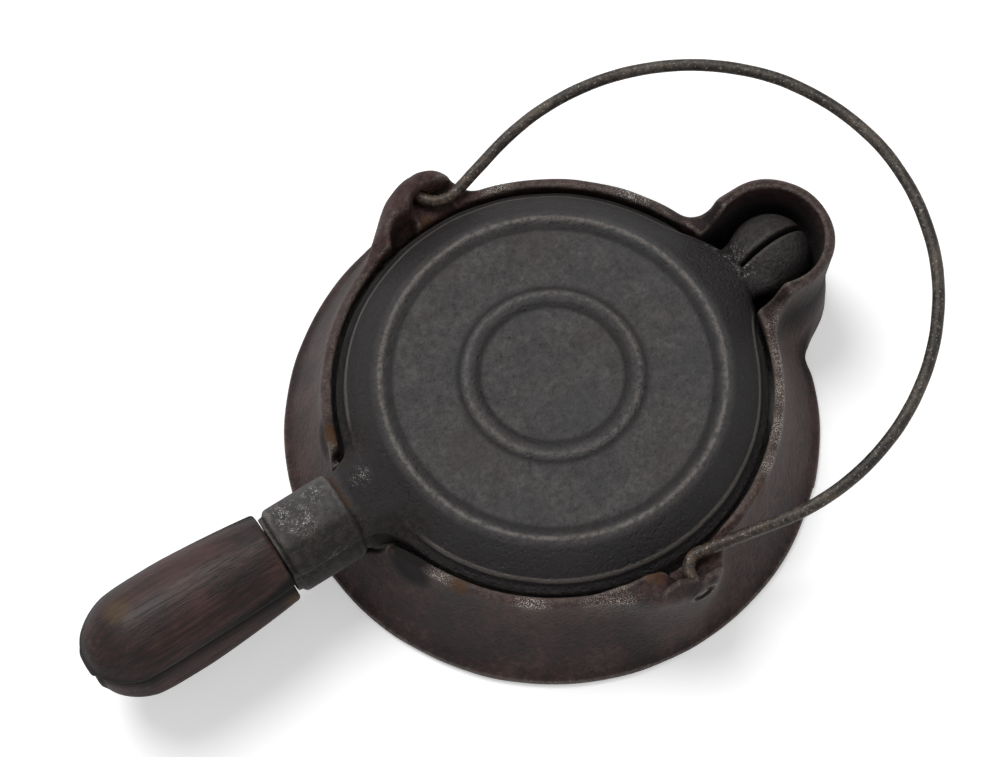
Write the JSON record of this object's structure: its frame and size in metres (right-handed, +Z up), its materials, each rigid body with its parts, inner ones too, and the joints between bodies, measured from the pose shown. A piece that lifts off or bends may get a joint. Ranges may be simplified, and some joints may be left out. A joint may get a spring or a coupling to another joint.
{
  "type": "stovetop waffle iron",
  "caption": "Small round cast stovetop waffle iron: hinged pans with split wooden grips, turning on a ball hinge in a low ring base with a wire bail.",
  "frame": {"origin": "centre of the base ring, on the plane that the foot rests on", "axes": "+X from the handle to the ball hinge, +Y to the left of that, +Z up"},
  "size_m": [0.2533, 0.152, 0.0493],
  "materials": {
    "base_iron": "seasoned, brown, worn at the rim",
    "pan_iron": "seasoned, satin black",
    "wire": "blackened, dull",
    "grip_wood": "dark stained, satin",
    "screw_steel": "darkened with age"
  },
  "bodies": {
    "base": {"base": "base_iron"},
    "bail": {"bail": "wire"},
    "lower_pan": {"lower_pan": "pan_iron", "lower_grip": "grip_wood", "lower_grip_front_screw": "screw_steel", "lower_grip_rear_screw": "screw_steel"},
    "upper_pan": {"upper_pan": "pan_iron", "upper_grip": "grip_wood", "upper_grip_front_screw": "screw_steel", "upper_grip_rear_screw": "screw_steel"}
  },
  "joints": [
    {"name": "lift_out", "type": "slide", "parent": "base", "child": "lower_pan", "axis": [0, 0, 1], "range_m": [0, 0.06]},
    {"name": "open", "type": "hinge", "parent": "lower_pan", "child": "upper_pan", "pos_m": [0.0728, 0, 0.0255], "axis": [0, 1, 0], "range_deg": [0, 95]},
    {"name": "bail_swing", "type": "hinge", "parent": "base", "child": "bail", "pos_m": [0, 0, 0.0293], "axis": [0, -1, 0], "range_deg": [0, 130]}
  ]
}
